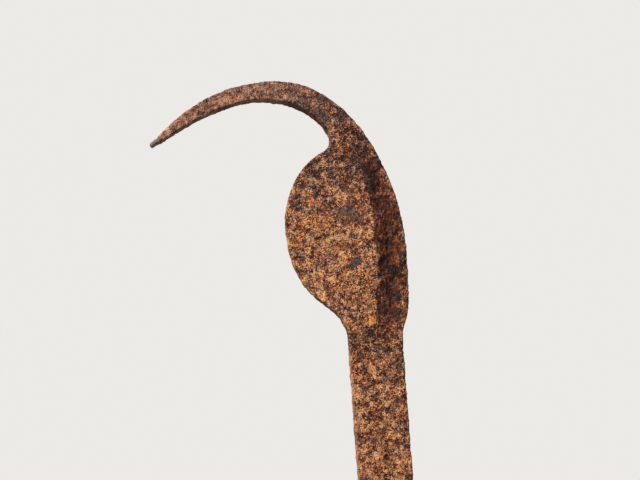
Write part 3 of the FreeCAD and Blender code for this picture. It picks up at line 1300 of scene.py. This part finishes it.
@dataclass
class Scales:
    """The two wooden scales of the grip, hollowed over the tang and riveted through it.

    Attributes:
        cell: size of the mesh's quads, in millimetres.
        smoothing: how many rounds of smoothing soften the edges.
        worn: dents and wear from hands.
        grooves: grooves along the grain.
        grain_stretch: how many times longer than wide the grooves are drawn out along Z.
        bedded: distances from the middle plane between which the relief comes in.
        rivets: heights of the rivets.
        bands: heights of the two ferrules' inner edges.
    """

    cell: float = 0.6
    smoothing: int = 6
    worn: Tuple[Relief, ...] = (
        Relief(Texture.CLOUDS, 22.0, 0.5, detail=0),
        Relief(Texture.CLOUDS, 6.0, 0.14, detail=1, level=0.6),
    )
    grooves: Tuple[Relief, ...] = (
        Relief(Texture.CLOUDS, 1.5, 0.34, hardness=2.2, detail=2, level=0.62),
    )
    grain_stretch: float = 22.0
    bedded: Tuple[float, float] = (0.4, 2.0)
    rivets: Tuple[float, ...] = (45.0, 73.0, 101.0)
    bands: Tuple[float, float] = (28.0, 118.0)

    def build(self) -> List[bpy.types.Object]:
        """Makes both scales.

        Returns:
            The front scale and the back scale.
        """
        front = AshWood("ash_front", (9.0, 46.0), 0.0, self.rivets, self.bands)
        back = AshWood("ash_back", (-22.0, -38.0), 40.0, self.rivets, self.bands)
        return [self._scale(Side.FRONT, front), self._scale(Side.BACK, back)]

    def _scale(self, side: Side, finish: AshWood) -> bpy.types.Object:
        """Makes one scale.

        Args:
            side: the face of the bar that it lies on.
            finish: its wood.

        Returns:
            The finished piece.
        """
        label = side.name.lower()
        node = f"grip_scale_{label}"
        piece = copy_of_node(node, f"ash_scale_{label}")
        remesh(piece, self.cell, self.smoothing)
        before, outward = points_of(piece), normals_of(piece)
        mask_group(piece, "shown", ramp_between(np.abs(before[:, 1]), *self.bedded))
        emboss(piece, self.worn, "shown")
        self._groove(piece)
        store_relief(piece, before, outward)
        piece.data.materials.append(finish.mix())
        settle(piece, [node], "grip_wood")
        return piece

    def _groove(self, piece: bpy.types.Object) -> None:
        """Opens the grain: the piece is squeezed along Z, embossed and drawn out again.

        Args:
            piece: the scale.
        """
        squeeze = np.array([1.0, 1.0, 1.0 / self.grain_stretch])
        full, outward = points_of(piece), normals_of(piece)
        pattern = duplicate(piece, "grain_pattern", Matrix.Identity(4))
        set_points(pattern, full * squeeze)
        flat = points_of(pattern)
        emboss(pattern, self.grooves)
        moved = points_of(pattern) - flat
        lift = np.linalg.norm(moved, axis=1)
        sign = np.sign((moved * normals_of(pattern)).sum(axis=1))
        shown = ramp_between(np.abs(full[:, 1]), *self.bedded)
        set_points(piece, full + outward * (lift * sign * shown)[:, None])
        discard(pattern)


@dataclass
class Ferrules:
    """The two hammered iron bands that bind the ends of the grip, lapped at the back.

    Attributes:
        cell: size of the mesh's quads, in millimetres.
        smoothing: how many rounds of smoothing soften the edges.
        back_y: distances behind the middle plane between which the back of a band begins.
        lap_x: where the band's ends overlap, to the right of the centre line.
        lap_rise: how far the upper end stands proud.
        lap_width: how wide the overlap is.
        seam_depth: how deep the line between the two ends is.
        seam_width: how far to each side of its middle that line reaches.
        hammered: hammer marks and corrosion.
        rust: the bands' rust.
    """

    cell: float = 0.34
    smoothing: int = 5
    back_y: Tuple[float, float] = (8.0, 11.0)
    lap_x: float = -5.0
    lap_rise: float = 0.35
    lap_width: float = 8.0
    seam_depth: float = 0.35
    seam_width: float = 0.6
    hammered: Tuple[Relief, ...] = (
        Relief(Texture.CELLS, 7.5, 0.3, hardness=1.2),
        Relief(Texture.CLOUDS, 2.6, 0.12, hardness=2.0, detail=2),
        Relief(Texture.CLOUDS, 0.8, 0.12, detail=1),
    )
    rust: Rust = Rust("ferrule_rust", UMBER, SOOT, 0.8, 0.58)

    def build(self) -> List[bpy.types.Object]:
        """Makes both ferrules.

        Returns:
            The lower and the upper ferrule.
        """
        finish = self.rust.mix()
        return [self._ferrule(place, finish) for place in ("lower", "upper")]

    def _ferrule(self, place: str, finish: bpy.types.Material) -> bpy.types.Object:
        """Makes one ferrule.

        Args:
            place: "lower" or "upper".
            finish: its rust.

        Returns:
            The finished piece.
        """
        node = f"{place}_ferrule"
        piece = copy_of_node(node, f"{place}_band")
        remesh(piece, self.cell, self.smoothing)
        self._lap(piece)
        before, outward = points_of(piece), normals_of(piece)
        emboss(piece, self.hammered)
        store_relief(piece, before, outward)
        piece.data.materials.append(finish)
        settle(piece, [node], "ferrule_iron")
        return piece

    def _lap(self, piece: bpy.types.Object) -> None:
        """Laps the band's two ends over each other at the back.

        Args:
            piece: the band.
        """
        points, facing = points_of(piece), normals_of(piece)[:, 1]
        across = points[:, 0]
        behind = ramp_between(points[:, 1], *self.back_y) * (facing > 0.3)
        lap = ramp_between(across, self.lap_x, self.lap_x + 0.5)
        lap *= ramp_between(across, self.lap_x + self.lap_width, self.lap_x + 0.6 * self.lap_width)
        seam = ramp_between(np.abs(across - self.lap_x), self.seam_width, 0.1)
        points[:, 1] += behind * (lap * self.lap_rise - seam * self.seam_depth)
        set_points(piece, points)


@dataclass
class Rivets:
    """Three iron rivets through grip and tang, each with a hand-cut rove under either head.

    Attributes:
        heights: the rivets' places along the grip, by name.
        shank: radius of a rivet's shank.
        head: radius of a rivet's head.
        seat: distance from the middle plane to the face that a head is closed down on.
        rise: how far a head stands above its rove.
        rove: radius of a rove.
        rove_thick: a rove's thickness.
        rove_sides: how many cuts shape a rove's outline.
        rove_cut: how deep the cuts go, from 0 for a round rove to 1 for straight sides.
        rove_edge: width of the bevel on a rove's edges.
        dome: a head's steps from its seat up, as shares of its radius and lifts.
        crown: how far the middle of a head stands above its last step.
        flats: how many hammer flats each head has.
        slopes: least and greatest slope of a flat, in degrees.
        reach: nearest and farthest place of a flat, as shares of the head's radius.
        pitted: hammer marks and corrosion.
        rust: the rivets' and roves' rust.
        seed: starts the chance that turns each copy and places the flats.
    """

    heights: Tuple[Tuple[str, float], ...] = (("lower", 45.0), ("middle", 73.0), ("upper", 101.0))
    shank: float = 2.5
    head: float = 4.6
    seat: float = 13.7
    rise: float = 2.1
    rove: float = 6.35
    rove_thick: float = 1.0
    rove_sides: int = 9
    rove_cut: float = 0.65
    rove_edge: float = 0.28
    dome: Tuple[Tuple[float, float], ...] = ((1.0, 0.0), (0.98, 0.55), (0.8, 1.35), (0.45, 1.9))
    crown: float = 0.12
    flats: int = 5
    slopes: Tuple[float, float] = (28.0, 46.0)
    reach: Tuple[float, float] = (0.50, 0.58)
    pitted: Tuple[Relief, ...] = (
        Relief(Texture.CLOUDS, 3.0, 0.3, detail=1, level=0.6),
        Relief(Texture.CLOUDS, 0.9, 0.16, detail=1),
    )
    rust: Rust = Rust("rivet_rust", UMBER, SOOT, 0.9, 0.58)
    seed: int = 11

    def build(self) -> List[bpy.types.Object]:
        """Makes the rivets and their roves.

        Returns:
            All nine pieces.
        """
        finish = self.rust.mix()
        dice = random.Random(self.seed)
        rivet, rove = self._rivet_pattern(), self._rove_pattern()
        made: Dict[str, bpy.types.Object] = {}
        for name, height in self.heights:
            piece = self._set(rivet, f"iron_rivet_{name}", 0.0, height, dice)
            made[f"grip_rivet_{name}"] = piece
            for side in Side:
                label = side.name.lower()
                depth = side.value * (self.seat - self.rove_thick / 2)
                piece = self._set(rove, f"rove_{label}_plate_{name}", depth, height, dice)
                made[f"rove_{label}_{name}"] = piece
        discard(rivet)
        discard(rove)
        for node, piece in made.items():
            piece.data.materials.append(finish)
            settle(piece, [node], "rivet_iron")
        return list(made.values())

    def _set(
        self,
        pattern: bpy.types.Object,
        name: str,
        depth: float,
        height: float,
        dice: random.Random,
    ) -> bpy.types.Object:
        """Sets a copy of a rivet or rove in its place, turned by chance.

        Args:
            pattern: the piece to copy.
            name: the copy's name.
            depth: its place along Y.
            height: its place along Z.
            dice: the source of chance.

        Returns:
            The copy, with its relief.
        """
        turn = Matrix.Rotation(dice.uniform(0.0, 2.0 * math.pi), 4, "Y")
        place = Matrix.Translation(Vector((0.0, depth, height)) * MM)
        piece = duplicate(pattern, name, place @ turn)
        before, outward = points_of(piece), normals_of(piece)
        emboss(piece, self.pitted)
        store_relief(piece, before, outward)
        return piece

    def _rivet_pattern(self) -> bpy.types.Object:
        """Makes a rivet along Y: a shank whose two ends are upset into hammered domes.

        Returns:
            The pattern, centred on the origin.
        """
        deselect_all()
        bpy.ops.mesh.primitive_cylinder_add(
            vertices=24, radius=self.shank * MM, depth=2 * self.seat * MM, end_fill_type="NGON"
        )
        piece = new_piece("rivet_pattern")
        for end in (-1, 1):
            self._upset(piece, end)
        piece.data.transform(Matrix.Rotation(math.radians(90.0), 4, "X"))
        self._hammer_flats(piece)
        modify(piece, "SUBSURF", levels=2, render_levels=2)
        return piece

    def _upset(self, piece: bpy.types.Object, end: int) -> None:
        """Upsets one end of the shank into a dome.

        Args:
            piece: the rivet pattern, along Z.
            end: 1 for the upper end, -1 for the lower.
        """
        begin_edit(piece, "FACE")
        select_faces(piece, lambda face: face.normal.z * end > 0.9 and face.center.z * end > 0)
        seat = (0.0, 0.0, end * self.seat * MM)
        radius, lift = self.shank, 0.0
        for share, next_lift in self.dome:
            step = (0.0, 0.0, end * (next_lift - lift) * MM)
            bpy.ops.mesh.extrude_region_move(TRANSFORM_OT_translate={"value": step})
            wider = self.head * share / radius
            bpy.ops.transform.resize(value=(wider, wider, 1.0), center_override=seat)
            radius, lift = self.head * share, next_lift
        bpy.ops.mesh.inset(thickness=radius * 0.5 * MM, depth=self.crown * MM)
        end_edit()

    def _hammer_flats(self, piece: bpy.types.Object) -> None:
        """Knocks flats on both domes with the hammer.

        Args:
            piece: the rivet pattern.
        """
        dice = random.Random(self.seed + 1)
        for end in Side:
            for turn in range(self.flats):
                angle = turn * 2.0 * math.pi / self.flats + dice.uniform(-0.4, 0.4)
                slope = math.radians(dice.uniform(*self.slopes))
                out, along = math.sin(slope), math.cos(slope)
                facing = Vector((out * math.cos(angle), end.value * along, out * math.sin(angle)))
                middle = Vector((0.0, end.value * (self.seat + self.rise * 0.30), 0.0))
                at = (middle + facing * self.head * dice.uniform(*self.reach)) * MM
                begin_edit(piece, "FACE")
                bpy.ops.mesh.select_all(action="SELECT")
                bpy.ops.mesh.bisect(plane_co=at, plane_no=facing, use_fill=True, clear_outer=True)
                end_edit()

    def _rove_pattern(self) -> bpy.types.Object:
        """Makes a rove across Y: a plate cut by hand to an uneven many-sided shape.

        Returns:
            The pattern, centred on the origin.
        """
        deselect_all()
        bpy.ops.mesh.primitive_cylinder_add(
            vertices=36, radius=self.rove * MM, depth=self.rove_thick * MM, end_fill_type="NGON"
        )
        piece = new_piece("rove_pattern")
        begin_edit(piece, "FACE")
        select_faces(piece, lambda face: abs(face.normal.z) > 0.9)
        bpy.ops.mesh.inset(thickness=(self.rove - self.shank) * MM, use_even_offset=True)
        bpy.ops.mesh.bridge_edge_loops()
        end_edit()
        self._cut_outline(piece)
        modify(piece, "BEVEL", width=self.rove_edge * MM, segments=2, limit_method="ANGLE", angle_limit=0.8)
        begin_edit(piece, "FACE")
        bpy.ops.mesh.select_all(action="SELECT")
        bpy.ops.mesh.quads_convert_to_tris()
        end_edit()
        modify(piece, "SUBSURF", subdivision_type="SIMPLE", levels=2, render_levels=2)
        piece.data.transform(Matrix.Rotation(math.radians(90.0), 4, "X"))
        return piece

    def _cut_outline(self, piece: bpy.types.Object) -> None:
        """Draws the round outline in along each cut, and leaves the hole round.

        Args:
            piece: the rove pattern, across Z.
        """
        points = points_of(piece)
        radius = np.hypot(points[:, 0], points[:, 1])
        angle = np.arctan2(points[:, 1], points[:, 0])
        half = math.pi / self.rove_sides
        chord = math.cos(half) / np.cos(angle % (2 * half) - half)
        cut = 1.0 - self.rove_cut + self.rove_cut * chord
        share = np.where(radius > 0.8 * self.rove, cut, 1.0)
        points[:, :2] *= share[:, None]
        set_points(piece, points)


@dataclass(frozen=True)
class Lamp:
    """A wide soft light, so far away that it lights the floor evenly.

    Attributes:
        name: the light's name.
        azimuth: where it hangs round the object, in degrees from its front.
        elevation: how high it hangs, in degrees.
        spread: how wide it looks from the object, in degrees.
        power: its strength, in watts for each square metre.
        colour: its colour code.
    """

    name: str
    azimuth: float
    elevation: float
    spread: float
    power: float
    colour: str


@dataclass
class Studio:
    """The pale floor, the soft lights and the camera.

    Attributes:
        aim: the point in the middle of the picture.
        distance: from the camera to that point, in metres.
        azimuth: where the camera stands round the object, in degrees from its front.
        elevation: how high it stands, in degrees.
        roll: how far it is turned about its line of sight, in degrees.
        lens: focal length, in millimetres.
        sensor: the sensor's width, in millimetres.
        clip: the nearest and farthest distance that it sees, in metres.
        lamps: the lights.
        floor_radius: the floor's radius, in metres.
        room: the colour of the room.
        ambient: how strongly the room lights the object.
    """

    aim: Point = (-0.0241, 0.0, 0.27886)
    distance: float = 1.6
    azimuth: float = -8.0
    elevation: float = -10.0
    roll: float = -4.05
    lens: float = 180.0
    sensor: float = 36.0
    clip: Tuple[float, float] = (0.05, 50.0)
    lamps: Tuple[Lamp, ...] = (
        Lamp("key_light", -50.0, 36.0, spread=16.0, power=4.2, colour="#fff6ea"),
        Lamp("back_light", 140.0, 38.0, spread=40.0, power=2.3, colour="#fffaf4"),
    )
    floor_radius: float = 6.0
    room: str = "#eceae7"
    ambient: float = 0.19

    def build(self) -> None:
        """Sets the camera, the floor, the lights and the room."""
        self._camera()
        self._floor()
        for lamp in self.lamps:
            self._hang(lamp)
        self._room()

    @staticmethod
    def direction(azimuth: float, elevation: float) -> Vector:
        """Finds the direction of a viewer or a light.

        Args:
            azimuth: where it stands round the object, in degrees from its front.
            elevation: how high it stands, in degrees.

        Returns:
            The unit vector from the object towards it.
        """
        turn, lift = math.radians(azimuth), math.radians(elevation)
        level = math.cos(lift)
        return Vector((math.sin(turn) * level, -math.cos(turn) * level, math.sin(lift)))

    def _camera(self) -> None:
        """Places the camera, rolled a little about its line of sight."""
        data = bpy.data.cameras.new("camera")
        data.lens = self.lens
        data.sensor_width = self.sensor
        data.clip_start, data.clip_end = self.clip
        camera = bpy.data.objects.new("camera", data)
        bpy.context.scene.collection.objects.link(camera)
        back = self.direction(self.azimuth, self.elevation)
        level_right = (-back).cross(Vector((0.0, 0.0, 1.0))).normalized()
        level_up = level_right.cross(-back)
        turn = math.radians(self.roll)
        right = math.cos(turn) * level_right + math.sin(turn) * level_up
        up = right.cross(-back)
        turned = Matrix((right, up, back)).transposed().to_4x4()
        camera.matrix_world = Matrix.Translation(Vector(self.aim) + back * self.distance) @ turned
        bpy.context.scene.camera = camera

    def _floor(self) -> None:
        """Lays the pale floor under the butt; it throws no light back up, so undersides stay dark."""
        lowest = CAD_BOX[0].z
        deselect_all()
        bpy.ops.mesh.primitive_circle_add(
            vertices=96, radius=self.floor_radius, fill_type="NGON", location=(0.0, 0.0, lowest)
        )
        floor = new_piece("floor")
        place_in_mesh(floor)
        floor.data.materials.append(Plaster("floor_plaster").mix())
        floor.visible_diffuse = False
        floor.visible_glossy = False

    def _hang(self, lamp: Lamp) -> None:
        """Hangs a light.

        Args:
            lamp: the light.
        """
        data = bpy.data.lights.new(lamp.name, "SUN")
        data.angle = math.radians(lamp.spread)
        data.energy = lamp.power
        data.color = paint(lamp.colour)[:3]
        light = bpy.data.objects.new(lamp.name, data)
        bpy.context.scene.collection.objects.link(light)
        towards = self.direction(lamp.azimuth, lamp.elevation)
        light.location = Vector(self.aim) + towards * self.distance
        light.rotation_euler = towards.to_track_quat("Z", "Y").to_euler()

    def _room(self) -> None:
        """Paints the room pale where it is seen, and keeps its light low so that relief shows."""
        world = bpy.data.worlds.new("room")
        world.use_nodes = True
        wiring = Wiring(world.node_tree)
        dim = {"Color": paint("#ffffff"), "Strength": self.ambient}
        light = wiring.node("ShaderNodeBackground", {}, dim, "Background")
        seen = wiring.node("ShaderNodeBackground", {}, {"Color": paint(self.room)}, "Background")
        to_camera = wiring.node("ShaderNodeLightPath", {}, {}, "Is Camera Ray")
        both = wiring.node("ShaderNodeMixShader", {}, {0: to_camera, 1: light, 2: seen}, "Shader")
        wiring.node("ShaderNodeOutputWorld", {}, {"Surface": both})
        bpy.context.scene.world = world
        bpy.context.scene.view_settings.view_transform = "Standard"


def main() -> None:
    """Builds every sub-assembly in order."""
    logging.basicConfig(level=logging.INFO, format="%(message)s")
    Studio().build()
    Forging().build()
    Scales().build()
    Ferrules().build()
    Rivets().build()


if __name__ == "__main__":
    main()
